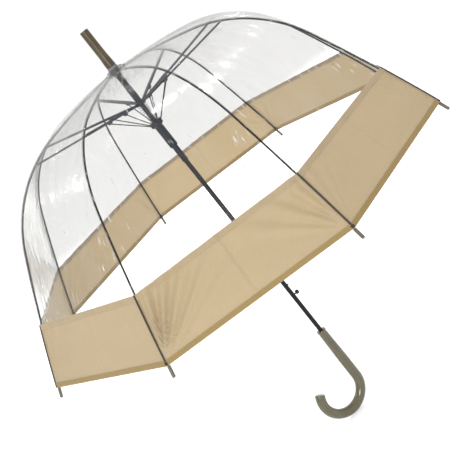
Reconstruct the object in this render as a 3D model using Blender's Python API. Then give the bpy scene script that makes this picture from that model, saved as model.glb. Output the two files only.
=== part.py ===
"""Automatic stick umbrella with a clear dome canopy, eight ribs and a crook handle.

Metres, +Z up, canopy up. The origin is the middle of the handle's straight grip, and the
crook curls towards -X. Ribs are numbered anticlockwise from +X, 45 degrees apart.
A rib piece is modelled in its rib's plane as (radius, height), then turned about +Z.
"""
import math

import bmesh
import bpy
from mathutils import Matrix, Vector

# Driving dimensions
RIBS = 8
RIM_RADIUS = 0.420           # rib root at the hem, from the shaft's axis
RIM_Z = 0.329                # height of the rim above the middle of the grip
GAP = 0.0003                 # running clearance between neighbouring pieces

SHAFT_R = 0.00425
SHAFT_BORE_R = 0.00365
SHAFT_TOP_Z = RIM_Z + 0.4055
SHAFT_FOOT_Z = 0.0008
HUB_BORE_R = SHAFT_R + GAP

PIVOT_R = 0.0072             # rib and stretcher pivots, from the shaft's axis
NOTCH_Z = RIM_Z + 0.337      # rib pivots in the top notch
RIB_SLOPE_START = math.radians(2.0)
RIB_SLOPE_SHOULDER = math.radians(11.0)
RIB_SLOPE_FLANK = math.radians(60.5)
SHOULDER_R = 0.155           # where the rib's long flat top turns into its shoulder
SHOULDER_BEND = 0.235        # bend radius of the shoulder
JOINT_R = 0.2068             # where the stretcher is riveted to the rib
RIB_ROD_R = 0.0017

RING_HALF_LOW = 0.003
RING_HALF_HIGH = 0.0035
RING_R = 0.0094
CROWN_Z = RIM_Z + 0.2276     # strut pivots in the runner's crown
CROWN_PIVOT_R = 0.011
CROWN_R = 0.0119
CROWN_SEAT_Z = CROWN_Z + 0.0035
STRUT_REACH = 0.0575         # from the stretcher's ring pivot to the strut's pin
STRUT_DROP = 0.0038          # the strut's pin below the stretcher's pivot line
STRUT_ROD_R = 0.0009

SLEEVE_FOOT_Z = RIM_Z + 0.1764
SLEEVE_R = 0.0076
TUBE_FOOT_Z = RIM_Z + 0.1448
TUBE_R = 0.0053
TUBE_BORE_R = 0.0046

SPRING_R = 0.0076
SPRING_WIRE_R = 0.00055
SPRING_TURNS = 8

STOP_R = 0.0059              # ridged stop sleeve between the ring and the notch
STOP_RIDGES = 9

BUTTON_Z = RIM_Z - 0.1806
TOOTH_Z = RIM_Z - 0.1566
TOOTH_HALF = 0.002

HANDLE_TOP_Z = RIM_Z - 0.2699
CROOK_TOP_Z = RIM_Z - 0.3876
CROOK_R = 0.0443
CROOK_SWEEP = math.radians(212.0)
GRIP_TOP_R = 0.0086
GRIP_R = 0.0098
GRIP_BORE_FOOT_Z = 0.0
GRIP_SIDES = 20

FILM_LIFT = 0.0022           # inner face of the canopy above the rib's centre line
FILM_THICK = 0.0003
APEX_R = 0.0052
APEX_Z = NOTCH_Z + 0.0064
TIP_LENGTH = 0.0186
TIP_R = 0.0028
TIP_BORE_R = RIB_ROD_R + GAP

# Colours: base colour, roughness, metallic
FINISHES = {
    "black_steel": ((0.018, 0.019, 0.022), 0.34, 0.9),
    "blue_black_steel": ((0.020, 0.026, 0.036), 0.38, 0.8),
    "spring_steel": ((0.05, 0.055, 0.065), 0.3, 1.0),
    "black_plastic": ((0.012, 0.012, 0.014), 0.3, 0.0),
    "smoke_plastic": ((0.20, 0.20, 0.20), 0.35, 0.0),
    "taupe_plastic": ((0.25, 0.21, 0.13), 0.22, 0.0),
    "khaki_plastic": ((0.23, 0.19, 0.11), 0.36, 0.0),
    "black_fibreglass": ((0.02, 0.02, 0.022), 0.42, 0.0),
    "clear_film": ((0.86, 0.86, 0.84), 0.12, 0.0),
}


def clear_scene():
    for item in list(bpy.data.objects):
        bpy.data.objects.remove(item, do_unlink=True)


def finish(name):
    """The Principled material of that name, made once."""
    if name in bpy.data.materials:
        return bpy.data.materials[name]
    colour, roughness, metallic = FINISHES[name]
    material = bpy.data.materials.new(name)
    material.use_nodes = True
    shader = material.node_tree.nodes["Principled BSDF"]
    shader.inputs["Base Color"].default_value = (*colour, 1.0)
    shader.inputs["Roughness"].default_value = roughness
    shader.inputs["Metallic"].default_value = metallic
    return material


def mesh_from(name, verts, faces, smooth=True):
    """A mesh with its faces pointing out, shaded smooth except at hard edges."""
    mesh = bpy.data.meshes.new(name)
    mesh.from_pydata(verts, [], faces)
    shape = bmesh.new()
    shape.from_mesh(mesh)
    bmesh.ops.recalc_face_normals(shape, faces=shape.faces)
    shape.to_mesh(mesh)
    shape.free()
    if smooth:
        mesh.shade_smooth()
        mesh.set_sharp_from_angle(angle=math.radians(35))
    return mesh


def place(name, mesh, material, location=(0, 0, 0), azimuth=0.0):
    """An object holding that mesh, with its origin at location, turned about +Z."""
    item = bpy.data.objects.new(name, mesh)
    item.location = location
    item.rotation_euler = (0, 0, azimuth)
    if not mesh.materials:
        mesh.materials.append(finish(material))
    bpy.context.scene.collection.objects.link(item)
    return item


def turned(outline, sides):
    """Vertices and faces of a closed outline of (radius, height) turned about Z."""
    count = len(outline)
    verts = []
    for step in range(sides):
        angle = 2 * math.pi * step / sides
        verts += [(r * math.cos(angle), r * math.sin(angle), z) for r, z in outline]
    faces = []
    for step in range(sides):
        here, there = step * count, (step + 1) % sides * count
        for i in range(count):
            j = (i + 1) % count
            faces.append((here + i, here + j, there + j, there + i))
    return verts, faces


def lathe(name, outline, material, sides=24, location=(0, 0, 0)):
    verts, faces = turned(outline, sides)
    return place(name, mesh_from(name, verts, faces), material, location)


def turned_solid(name, outline, sides, turn=Matrix.Identity(4)):
    """The mesh of an outline that touches the axis, turned about Z with its axis points merged."""
    verts, faces = turned(outline, sides)
    mesh = bpy.data.meshes.new(name)
    mesh.from_pydata(verts, [], faces)
    shape = bmesh.new()
    shape.from_mesh(mesh)
    bmesh.ops.remove_doubles(shape, verts=shape.verts, dist=1e-6)
    bmesh.ops.dissolve_degenerate(shape, edges=shape.edges, dist=1e-7)
    bmesh.ops.transform(shape, matrix=turn, verts=shape.verts)
    bmesh.ops.recalc_face_normals(shape, faces=shape.faces)
    shape.to_mesh(mesh)
    shape.free()
    mesh.shade_smooth()
    mesh.set_sharp_from_angle(angle=math.radians(35))
    return mesh


def lofted(rings):
    """Vertices and faces of equal rings of points joined in order, with both ends capped."""
    count = len(rings[0])
    verts = [point for ring in rings for point in ring]
    faces = [tuple(range(count))]
    for k in range(len(rings) - 1):
        for i in range(count):
            j = (i + 1) % count
            faces.append((k * count + i, k * count + j, (k + 1) * count + j, (k + 1) * count + i))
    faces.append(tuple(reversed(range((len(rings) - 1) * count, len(rings) * count))))
    return verts, faces


def rod_rings(path, sizes, sides):
    """Oval rings square to a path of (x, z) in the XZ plane; sizes are (half width, half height)."""
    rings = []
    for k, (x, z) in enumerate(path):
        before, after = path[max(k - 1, 0)], path[min(k + 1, len(path) - 1)]
        along = Vector((after[0] - before[0], after[1] - before[1])).normalized()
        wide, high = sizes[k]
        ring = []
        for i in range(sides):
            angle = 2 * math.pi * (i + 0.5) / sides
            lift = high * math.sin(angle)
            ring.append((x - along.y * lift, wide * math.cos(angle), z + along.x * lift))
        rings.append(ring)
    return rings


def box_verts(low, high):
    return [(x, y, z) for x in (low[0], high[0]) for y in (low[1], high[1]) for z in (low[2], high[2])]


BOX_FACES = ((0, 1, 3, 2), (4, 6, 7, 5), (0, 4, 5, 1), (2, 3, 7, 6), (0, 2, 6, 4), (1, 5, 7, 3))


def cut_away(item, name, verts, faces):
    """Takes a closed shape out of item."""
    cutter = place(name, mesh_from(name, verts, faces, smooth=False), "black_plastic")
    cutter.hide_render = True
    cutter.display_type = "WIRE"
    boolean = item.modifiers.new(name, "BOOLEAN")
    boolean.operation = "DIFFERENCE"
    boolean.solver = "EXACT"
    boolean.object = cutter


def cut_boxes(item, name, boxes):
    """Takes boxes, each (low corner, high corner, azimuth), out of item."""
    verts, faces = [], []
    for low, high, azimuth in boxes:
        turn = Matrix.Rotation(azimuth, 3, "Z")
        first = len(verts)
        verts += [tuple(turn @ Vector(corner)) for corner in box_verts(low, high)]
        faces += [tuple(first + i for i in face) for face in BOX_FACES]
    cut_away(item, name, verts, faces)


def azimuths():
    return [(i + 1, 2 * math.pi * i / RIBS) for i in range(RIBS)]


def around(name, mesh, material, radius, height):
    """One copy of a mesh at every rib, with its origin at (radius, height) in the rib's plane."""
    for number, azimuth in azimuths():
        spot = (radius * math.cos(azimuth), radius * math.sin(azimuth), height)
        place(f"{name}_{number}", mesh, material, spot, azimuth)


# The rib's centre line: a long flat arc, a tighter shoulder, then a nearly straight flank.
TOP_BEND = (SHOULDER_R - PIVOT_R) / (math.sin(RIB_SLOPE_SHOULDER) - math.sin(RIB_SLOPE_START))
SHOULDER_Z = NOTCH_Z - TOP_BEND * (math.cos(RIB_SLOPE_START) - math.cos(RIB_SLOPE_SHOULDER))
FLANK_R = SHOULDER_R + SHOULDER_BEND * (math.sin(RIB_SLOPE_FLANK) - math.sin(RIB_SLOPE_SHOULDER))
FLANK_Z = SHOULDER_Z - SHOULDER_BEND * (math.cos(RIB_SLOPE_SHOULDER) - math.cos(RIB_SLOPE_FLANK))
FLANK_CHORD = math.hypot(RIM_RADIUS - FLANK_R, FLANK_Z - RIM_Z)
FLANK_CHORD_SLOPE = math.atan2(FLANK_Z - RIM_Z, RIM_RADIUS - FLANK_R)
RIM_SLOPE = 2 * FLANK_CHORD_SLOPE - RIB_SLOPE_FLANK
FLANK_BEND = FLANK_CHORD / (2 * math.sin((RIM_SLOPE - RIB_SLOPE_FLANK) / 2))


def rib_point(slope):
    """(radius, height) on the rib's centre line where it slopes down by that angle."""
    if slope <= RIB_SLOPE_SHOULDER:
        start, bend, r, z = RIB_SLOPE_START, TOP_BEND, PIVOT_R, NOTCH_Z
    elif slope <= RIB_SLOPE_FLANK:
        start, bend, r, z = RIB_SLOPE_SHOULDER, SHOULDER_BEND, SHOULDER_R, SHOULDER_Z
    else:
        start, bend, r, z = RIB_SLOPE_FLANK, FLANK_BEND, FLANK_R, FLANK_Z
    return (
        r + bend * (math.sin(slope) - math.sin(start)),
        z - bend * (math.cos(start) - math.cos(slope)),
    )


def slopes(first, last, steps):
    return [first + (last - first) * k / steps for k in range(steps + 1)]


JOINT_SLOPE = math.asin(math.sin(RIB_SLOPE_SHOULDER) + (JOINT_R - SHOULDER_R) / SHOULDER_BEND)
JOINT_Z = rib_point(JOINT_SLOPE)[1]
LINK = math.hypot(JOINT_R - PIVOT_R, NOTCH_Z - JOINT_Z)
LINK_SLOPE = math.atan2(NOTCH_Z - JOINT_Z, JOINT_R - PIVOT_R)
RING_Z = 2 * JOINT_Z - NOTCH_Z   # the stretcher is as long as the rib from notch to joint


def shifted(points, origin):
    return [(r - origin[0], z - origin[1]) for r, z in points]


def build_shaft():
    tube = [
        (SHAFT_R, SHAFT_TOP_Z), (SHAFT_BORE_R, SHAFT_TOP_Z),
        (SHAFT_BORE_R, SHAFT_FOOT_Z), (SHAFT_R, SHAFT_FOOT_Z),
    ]
    shaft = lathe("shaft_tube", tube, "black_steel", 24)
    slot_half = 0.0015
    slot_low = (0.0015, -slot_half, BUTTON_Z - 0.005)
    slot_high = (0.006, slot_half, TOOTH_Z + 0.0035)
    cut_boxes(shaft, "shaft_slot", [(slot_low, slot_high, 0.0)])


def build_ferrule():
    base_z, tip_z = RIM_Z + 0.349, RIM_Z + 0.4224
    base_r, tip_r, edge = 0.0089, 0.0078, 0.0012
    washer_r = 0.0098
    outline = [
        (HUB_BORE_R, base_z), (base_r - 0.0006, base_z), (base_r, base_z + 0.0008),
        (base_r - 0.0004, base_z + 0.010), (tip_r, base_z + 0.022),
        (tip_r, tip_z - edge), (tip_r - edge, tip_z), (0.0, tip_z),
        (0.0, SHAFT_TOP_Z + GAP), (HUB_BORE_R, SHAFT_TOP_Z + GAP),
    ]
    mesh = turned_solid("ferrule", outline, 24)
    place("ferrule", mesh, "khaki_plastic")
    washer_foot = APEX_Z + FILM_THICK + GAP
    washer = [
        (HUB_BORE_R, washer_foot), (washer_r, washer_foot), (washer_r, washer_foot + edge),
        (washer_r - edge, base_z - GAP), (HUB_BORE_R, base_z - GAP),
    ]
    lathe("canopy_washer", washer, "smoke_plastic", 24)


def build_notch():
    roof, foot, outer = NOTCH_Z + 0.0061, NOTCH_Z - 0.0042, 0.0102
    outline = [
        (HUB_BORE_R, foot), (0.0088, foot), (outer, foot + 0.0014),
        (outer, roof - 0.0008), (outer - 0.0008, roof), (HUB_BORE_R, roof),
    ]
    notch = lathe("top_notch", outline, "smoke_plastic", 24)
    slots = []
    for _, azimuth in azimuths():
        slots.append(((0.0053, -0.00135, foot - 0.001), (0.012, 0.00135, NOTCH_Z + 0.0022), azimuth))
    cut_boxes(notch, "notch_slots", slots)


def build_ring():
    foot, top = RING_Z - RING_HALF_LOW, RING_Z + RING_HALF_HIGH
    outline = [
        (HUB_BORE_R, foot), (RING_R, foot), (RING_R, top - 0.0008),
        (RING_R - 0.0008, top), (HUB_BORE_R, top),
    ]
    ring = lathe("floating_ring", outline, "blue_black_steel", 24)
    slots = []
    for _, azimuth in azimuths():
        slots.append(((0.0053, -0.00135, RING_Z - 0.0018), (0.012, 0.00135, top + 0.001), azimuth))
    cut_boxes(ring, "ring_slots", slots)


def build_stop_sleeve():
    """A ridged sleeve on the shaft that the ring comes up against."""
    foot = RING_Z + RING_HALF_HIGH + 2 * GAP
    top = NOTCH_Z - 0.0042 - 2 * GAP
    pitch = (top - foot) / (2 * STOP_RIDGES)
    groove, slope = 0.0006, 0.0004
    outline = [(HUB_BORE_R, top), (HUB_BORE_R, foot)]
    for k in range(STOP_RIDGES):
        low = foot + k * pitch
        outline += [(STOP_R, low + slope), (STOP_R, low + 0.6 * pitch)]
        outline.append((STOP_R - groove, low + 0.8 * pitch))
    outline += [(STOP_R - groove, top - slope), (STOP_R - 2 * groove, top)]
    outline.insert(2, (STOP_R - groove, foot))
    lathe("stop_sleeve", outline, "blue_black_steel", 20)


def build_spring():
    """One coil, its end turns just clear of the ring above and of the crown below."""
    low = CROWN_SEAT_Z + SPRING_WIRE_R + GAP
    high = RING_Z - RING_HALF_LOW - SPRING_WIRE_R - GAP
    per_turn, wire_sides = 12, 5
    steps = SPRING_TURNS * per_turn
    rings = []
    for k in range(steps + 1):
        angle = 2 * math.pi * k / per_turn
        share = k / steps
        out = Vector((math.cos(angle), math.sin(angle), 0))
        centre = out * SPRING_R + Vector((0, 0, low + (high - low) * share))
        ring = []
        for i in range(wire_sides):
            turn = 2 * math.pi * i / wire_sides
            side = out * math.cos(turn) + Vector((0, 0, math.sin(turn)))
            ring.append(tuple(centre + SPRING_WIRE_R * side))
        rings.append(ring)
    verts, faces = lofted(rings)
    place("opening_spring", mesh_from("opening_spring", verts, faces), "spring_steel")


def build_runner():
    flange_foot = CROWN_Z - 0.0052
    tube_socket_z = SLEEVE_FOOT_Z + 0.012
    socket_r = TUBE_R + GAP
    outline = [
        (HUB_BORE_R, tube_socket_z), (socket_r, tube_socket_z), (socket_r, SLEEVE_FOOT_Z),
        (SLEEVE_R - 0.0004, SLEEVE_FOOT_Z), (SLEEVE_R, SLEEVE_FOOT_Z + 0.0006),
        (SLEEVE_R, flange_foot - 0.002), (CROWN_R - 0.0005, flange_foot),
        (CROWN_R, flange_foot + 0.0008), (CROWN_R, CROWN_SEAT_Z), (HUB_BORE_R, CROWN_SEAT_Z),
    ]
    runner = lathe("runner", outline, "blue_black_steel", 24)
    slots = []
    for _, azimuth in azimuths():
        slots.append(((0.0092, -0.0012, CROWN_Z - 0.0017), (0.014, 0.0012, CROWN_SEAT_Z + 0.001), azimuth))
    cut_boxes(runner, "runner_slots", slots)
    tube = [
        (TUBE_BORE_R, tube_socket_z - GAP), (TUBE_BORE_R, TUBE_FOOT_Z + 0.0012),
        (TUBE_BORE_R + 0.0006, TUBE_FOOT_Z), (TUBE_R + 0.0007, TUBE_FOOT_Z),
        (TUBE_R + 0.0007, TUBE_FOOT_Z + 0.0016), (TUBE_R, TUBE_FOOT_Z + 0.0026),
        (TUBE_R, tube_socket_z - GAP),
    ]
    lower = lathe("runner_tube", tube, "blue_black_steel", 24)
    window = ((0.003, -0.0015, TUBE_FOOT_Z + 0.0051), (0.007, 0.0015, TUBE_FOOT_Z + 0.0097), 0.0)
    cut_boxes(lower, "latch_window", [window])


def build_catch():
    """A leaf inside the shaft with the latch tooth and the button's stem, and the button."""
    half, leaf_in, leaf_out = 0.0011, 0.0023, 0.0029
    tooth_out, stem_out, stem_half = 0.0062, 0.0105, 0.0011
    foot, top = BUTTON_Z - 0.0285, TOOTH_Z + 0.0075
    side = [
        (leaf_in, foot), (leaf_out, foot),
        (leaf_out, BUTTON_Z - stem_half), (stem_out, BUTTON_Z - stem_half),
        (stem_out, BUTTON_Z + stem_half), (leaf_out, BUTTON_Z + stem_half),
        (leaf_out, TOOTH_Z - TOOTH_HALF), (tooth_out, TOOTH_Z - TOOTH_HALF),
        (tooth_out, TOOTH_Z), (leaf_out, TOOTH_Z + TOOTH_HALF),
        (leaf_out, top), (leaf_in, top),
    ]
    rings = [[(x, -half, z) for x, z in side], [(x, half, z) for x, z in side]]
    verts, faces = lofted(rings)
    place("latch_leaf", mesh_from("latch_leaf", verts, faces, smooth=False), "spring_steel")
    inner, outer, radius, edge = 0.0075, 0.0135, 0.0041, 0.0018
    socket = stem_half + GAP
    outline = [(radius - 0.0005, inner), (radius, inner + 0.0006)]
    for k in range(5):
        angle = math.pi / 2 * k / 4
        outline.append((radius - edge + edge * math.cos(angle), outer - edge + edge * math.sin(angle)))
    sides = 20
    rings = []
    for r, x in outline:
        ring = []
        for i in range(sides):
            angle = 2 * math.pi * i / sides
            ring.append((x, r * math.sin(angle), BUTTON_Z + r * math.cos(angle)))
        rings.append(ring)
    verts, faces = lofted(rings)
    button = place("push_button", mesh_from("push_button", verts, faces), "black_plastic")
    socket_low = (inner - 0.001, -socket, BUTTON_Z - socket)
    socket_high = (stem_out + GAP, socket, BUTTON_Z + socket)
    cut_boxes(button, "button_socket", [(socket_low, socket_high, 0.0)])


def build_handle():
    """A round grip that runs down and curls back up past the half turn into a blunt tip."""
    path = [(0.0, HANDLE_TOP_Z), (0.0, HANDLE_TOP_Z - 0.0007)]
    sizes = [GRIP_TOP_R - 0.0006, GRIP_TOP_R]
    for k in range(1, 5):
        share = k / 4
        path.append((0.0, HANDLE_TOP_Z + (CROOK_TOP_Z - HANDLE_TOP_Z) * share))
        sizes.append(GRIP_TOP_R + (GRIP_R - GRIP_TOP_R) * min(1.0, share * 1.6))
    steps = 26
    for k in range(1, steps + 1):
        angle = CROOK_SWEEP * k / steps
        path.append((-CROOK_R + CROOK_R * math.cos(angle), CROOK_TOP_Z - CROOK_R * math.sin(angle)))
        sizes.append(GRIP_R)
    last, before = Vector(path[-1]), Vector(path[-2])
    end = last + (last - before).normalized() * 0.001
    path.append((end.x, end.y))
    sizes.append(GRIP_R - 0.0009)
    verts, faces = lofted(rod_rings(path, [(size, size) for size in sizes], GRIP_SIDES))
    handle = place("handle_crook", mesh_from("handle_crook", verts, faces), "taupe_plastic")
    rings = []
    for z in (HANDLE_TOP_Z + 0.002, GRIP_BORE_FOOT_Z):
        ring = []
        for i in range(24):
            angle = 2 * math.pi * i / 24
            ring.append((HUB_BORE_R * math.cos(angle), HUB_BORE_R * math.sin(angle), z))
        rings.append(ring)
    cut_away(handle, "handle_bore", *lofted(rings))


def build_ribs():
    """The rib from notch to stretcher joint, then from the joint to the hem, and its tip cap."""
    end_gap, tongue = 0.001, (0.001, 0.0013)
    rod = (RIB_ROD_R, RIB_ROD_R)
    path = [
        (PIVOT_R - 0.0008, NOTCH_Z), (PIVOT_R + 0.0028, NOTCH_Z - 0.0001),
        (PIVOT_R + 0.0052, NOTCH_Z - 0.0002),
    ]
    sizes = [tongue, tongue, rod]
    bend = slopes(RIB_SLOPE_START, RIB_SLOPE_SHOULDER, 5)[1:]
    bend += slopes(RIB_SLOPE_SHOULDER, JOINT_SLOPE - end_gap / SHOULDER_BEND, 2)[1:]
    path += [rib_point(slope) for slope in bend]
    sizes += [rod] * len(bend)
    verts, faces = lofted(rod_rings(shifted(path, (PIVOT_R, NOTCH_Z)), sizes, 8))
    around("rib_upper", mesh_from("rib_upper", verts, faces), "black_fibreglass", PIVOT_R, NOTCH_Z)

    bend = slopes(JOINT_SLOPE + end_gap / SHOULDER_BEND, RIB_SLOPE_FLANK, 8)
    bend += slopes(RIB_SLOPE_FLANK, RIM_SLOPE, 3)[1:]
    path = [rib_point(slope) for slope in bend]
    reach = 0.010
    rim_r, rim_z = path[-1]
    path.append((rim_r + reach * math.cos(RIM_SLOPE), rim_z - reach * math.sin(RIM_SLOPE)))
    verts, faces = lofted(rod_rings(shifted(path, (JOINT_R, JOINT_Z)), [rod] * len(path), 8))
    around("rib_lower", mesh_from("rib_lower", verts, faces), "black_fibreglass", JOINT_R, JOINT_Z)

    bore_foot = 0.012
    outline = [
        (TIP_BORE_R, 0.0), (TIP_R - 0.0003, 0.0), (TIP_R, 0.0004), (TIP_R, TIP_LENGTH - 0.0018),
        (TIP_R * 0.78, TIP_LENGTH - 0.0006), (TIP_R * 0.4, TIP_LENGTH), (0.0, TIP_LENGTH),
        (0.0, bore_foot), (TIP_BORE_R, bore_foot),
    ]
    below = 0.0007
    root = (RIM_RADIUS + below * math.cos(RIM_SLOPE), RIM_Z - below * math.sin(RIM_SLOPE))
    down = Matrix.Rotation(math.pi / 2 + RIM_SLOPE, 4, "Y")
    shift = Matrix.Translation((root[0] - JOINT_R, 0, root[1] - JOINT_Z))
    mesh = turned_solid("rib_tip", outline, 12, shift @ down)
    around("rib_tip", mesh, "taupe_plastic", JOINT_R, JOINT_Z)


def channel_ring(x, wide, wall, top, ceiling, foot):
    """Ten points of an open-bottomed channel's section, left wall first."""
    inner = wide - wall
    return [
        (x, -wide, foot), (x, -wide, top), (x, -inner, top), (x, inner, top), (x, wide, top),
        (x, wide, foot), (x, inner, foot), (x, inner, ceiling), (x, -inner, ceiling), (x, -inner, foot),
    ]


def build_stretchers():
    """Pressed channels, open below: a flat tongue in the ring, lugs for the strut, a fork at the rib."""
    wall, top, ceiling, foot, lug = 0.0006, 0.0014, 0.0008, -0.0020, -0.0052
    tongue_wide, fork_wide = 0.0010, 0.00265
    rings = []
    for x, wide, roof, hollow, floor in (
        (-0.0008, tongue_wide, 0.0013, -0.00125, -0.0013),
        (0.0042, tongue_wide, 0.0013, -0.00125, -0.0013),
        (0.0075, 0.0016, top, ceiling, foot),
        (0.0350, fork_wide, top, ceiling, foot),
        (STRUT_REACH - 0.0045, fork_wide, top, ceiling, foot),
        (STRUT_REACH - 0.0020, fork_wide, top, ceiling, lug),
        (STRUT_REACH + 0.0020, fork_wide, top, ceiling, lug),
        (STRUT_REACH + 0.0045, fork_wide, top, ceiling, foot),
        (LINK - 0.0090, fork_wide, 0.0010, 0.0004, foot),
    ):
        rings.append(channel_ring(x, wide, wall, roof, hollow, floor))
    verts, faces = lofted(rings)
    # The web ends here, and only the two walls run on as the fork's cheeks.
    last = (len(rings) - 1) * 10
    faces[-1] = (last + 2, last + 3, last + 7, last + 8)
    fork_end = channel_ring(LINK + 0.0015, fork_wide, wall, 0.0002, 0.0001, foot)
    for cheek in ((0, 1, 2, 8, 9), (3, 4, 5, 6, 7)):
        first = len(verts)
        verts += [fork_end[i] for i in cheek]
        for k in range(5):
            j = (k + 1) % 5
            faces.append((last + cheek[k], last + cheek[j], first + j, first + k))
        faces.append(tuple(first + k for k in range(5)))
    tilt = Matrix.Rotation(-LINK_SLOPE, 3, "Y")
    pivot = Vector((PIVOT_R - JOINT_R, 0, RING_Z - JOINT_Z))
    verts = [tuple(tilt @ Vector(point) + pivot) for point in verts]
    mesh = mesh_from("stretcher", verts, faces, smooth=False)
    around("stretcher", mesh, "blue_black_steel", JOINT_R, JOINT_Z)


def build_struts():
    """Thin wires from the runner's crown up to the lugs of the stretchers."""
    pin_r = PIVOT_R + STRUT_REACH * math.cos(LINK_SLOPE) + STRUT_DROP * math.sin(LINK_SLOPE)
    pin_z = RING_Z + STRUT_REACH * math.sin(LINK_SLOPE) - STRUT_DROP * math.cos(LINK_SLOPE)
    along = Vector((pin_r - CROWN_PIVOT_R, pin_z - CROWN_Z))
    length = along.length
    along.normalize()
    wire, eye = (STRUT_ROD_R, STRUT_ROD_R), (0.0017, 0.0012)
    stations = [
        (-0.0009, wire), (0.010, wire), (length / 2, wire),
        (length - 0.0045, wire), (length - 0.0020, eye), (length + 0.0013, eye),
    ]
    path = [(along.x * s, along.y * s) for s, _ in stations]
    verts, faces = lofted(rod_rings(path, [size for _, size in stations], 8))
    around("strut", mesh_from("strut", verts, faces), "blue_black_steel", CROWN_PIVOT_R, CROWN_Z)


def panel_row(r, z):
    """Middle of the gap to the last rib, the rib, and the middle of the gap to the next one."""
    half, side_gap = math.pi / RIBS, GAP / 2
    edge = r * math.cos(half)
    x = edge * math.cos(half) + side_gap * math.sin(half)
    y = edge * math.sin(half) - side_gap * math.cos(half)
    return [(x, -y, z), (r, 0.0, z), (x, y, z)]


def build_canopy():
    """Eight panels of clear film and border, each centred on its rib and flat between ribs."""
    seat = [(APEX_R, APEX_Z), (0.0112, APEX_Z - 0.0001)]
    first_r, first_z = 0.0185, NOTCH_Z - 0.0004
    bend = slopes(RIB_SLOPE_START, RIB_SLOPE_SHOULDER, 5)[1:]
    bend += slopes(RIB_SLOPE_SHOULDER, JOINT_SLOPE, 2)[1:]
    bend += slopes(JOINT_SLOPE, RIB_SLOPE_FLANK, 8)[1:] + slopes(RIB_SLOPE_FLANK, RIM_SLOPE, 3)[1:]
    film = [(first_r, first_z, RIB_SLOPE_START)] + [(*rib_point(slope), slope) for slope in bend]
    verts = []
    for lift in (FILM_LIFT, FILM_LIFT + FILM_THICK):
        for r, z in seat:
            verts += panel_row(r, z + lift - FILM_LIFT)
        for r, z, slope in film:
            verts += panel_row(r + lift * math.sin(slope), z + lift * math.cos(slope))
    rows = len(seat) + len(film)
    layer = 3 * rows
    faces = []
    for k in range(rows - 1):
        for c in range(2):
            a = 3 * k + c
            faces.append((a, a + 1, a + 4, a + 3))
            faces.append((layer + a + 3, layer + a + 4, layer + a + 1, layer + a))
        faces.append((3 * k, 3 * k + 3, layer + 3 * k + 3, layer + 3 * k))
        faces.append((3 * k + 2, layer + 3 * k + 2, layer + 3 * k + 5, 3 * k + 5))
    for a in (0, 3 * (rows - 1)):
        for c in range(2):
            faces.append((a + c, layer + a + c, layer + a + c + 1, a + c + 1))
    verts = [(x - JOINT_R, y, z - JOINT_Z) for x, y, z in verts]
    mesh = mesh_from("canopy_panel", verts, faces, smooth=False)
    around("canopy_panel", mesh, "clear_film", JOINT_R, JOINT_Z)


def main():
    clear_scene()
    build_shaft()
    build_ferrule()
    build_notch()
    build_ring()
    build_stop_sleeve()
    build_spring()
    build_runner()
    build_catch()
    build_handle()
    build_ribs()
    build_stretchers()
    build_struts()
    build_canopy()


main()
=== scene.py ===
import functools
import math

import bmesh
import bpy
import numpy as np
from mathutils import Matrix, Vector, noise


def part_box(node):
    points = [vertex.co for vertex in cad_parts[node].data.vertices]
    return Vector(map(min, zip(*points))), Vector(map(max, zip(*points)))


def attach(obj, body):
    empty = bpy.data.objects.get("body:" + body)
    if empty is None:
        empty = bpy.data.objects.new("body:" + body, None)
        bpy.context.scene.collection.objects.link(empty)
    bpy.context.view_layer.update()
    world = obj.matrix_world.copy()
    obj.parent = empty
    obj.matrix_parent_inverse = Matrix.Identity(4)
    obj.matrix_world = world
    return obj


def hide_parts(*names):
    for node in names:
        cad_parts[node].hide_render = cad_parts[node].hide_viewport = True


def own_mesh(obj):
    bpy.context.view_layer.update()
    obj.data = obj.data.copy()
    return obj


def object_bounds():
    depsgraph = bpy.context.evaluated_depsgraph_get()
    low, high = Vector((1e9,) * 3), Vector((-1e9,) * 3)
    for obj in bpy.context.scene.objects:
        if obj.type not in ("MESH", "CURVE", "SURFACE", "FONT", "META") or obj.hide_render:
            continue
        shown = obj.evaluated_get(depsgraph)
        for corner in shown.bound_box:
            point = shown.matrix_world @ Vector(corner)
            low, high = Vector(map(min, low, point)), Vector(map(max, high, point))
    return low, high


# Looks of the clear dome stick umbrella. Metres, +Z up, the shaft's axis is Z and rib 1 points to +X.
# A canopy point is given by s, the distance down a rib from its pivot, and by c, the distance
# sideways from the middle of its gore.

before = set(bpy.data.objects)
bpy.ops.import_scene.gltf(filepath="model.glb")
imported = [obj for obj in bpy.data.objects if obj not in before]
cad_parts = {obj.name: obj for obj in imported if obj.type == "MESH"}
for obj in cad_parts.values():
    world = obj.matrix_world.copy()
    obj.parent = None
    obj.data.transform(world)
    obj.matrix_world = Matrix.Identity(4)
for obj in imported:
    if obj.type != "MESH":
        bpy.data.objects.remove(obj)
cad_low, cad_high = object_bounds()

RIBS = 8
HALF = math.pi / RIBS

# The rib's centre line, as in the CAD source
RIM_RADIUS, RIM_Z = 0.420, 0.329
PIVOT_R, NOTCH_Z = 0.0072, RIM_Z + 0.337
SLOPE_START, SLOPE_SHOULDER, SLOPE_FLANK = math.radians(2.0), math.radians(11.0), math.radians(60.5)
SHOULDER_R, SHOULDER_BEND = 0.155, 0.235
JOINT_R = 0.2068
RIB_R = 0.0015               # the rod itself, a little under its CAD envelope
APEX_R, APEX_Z = 0.0052, NOTCH_Z + 0.0064

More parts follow.
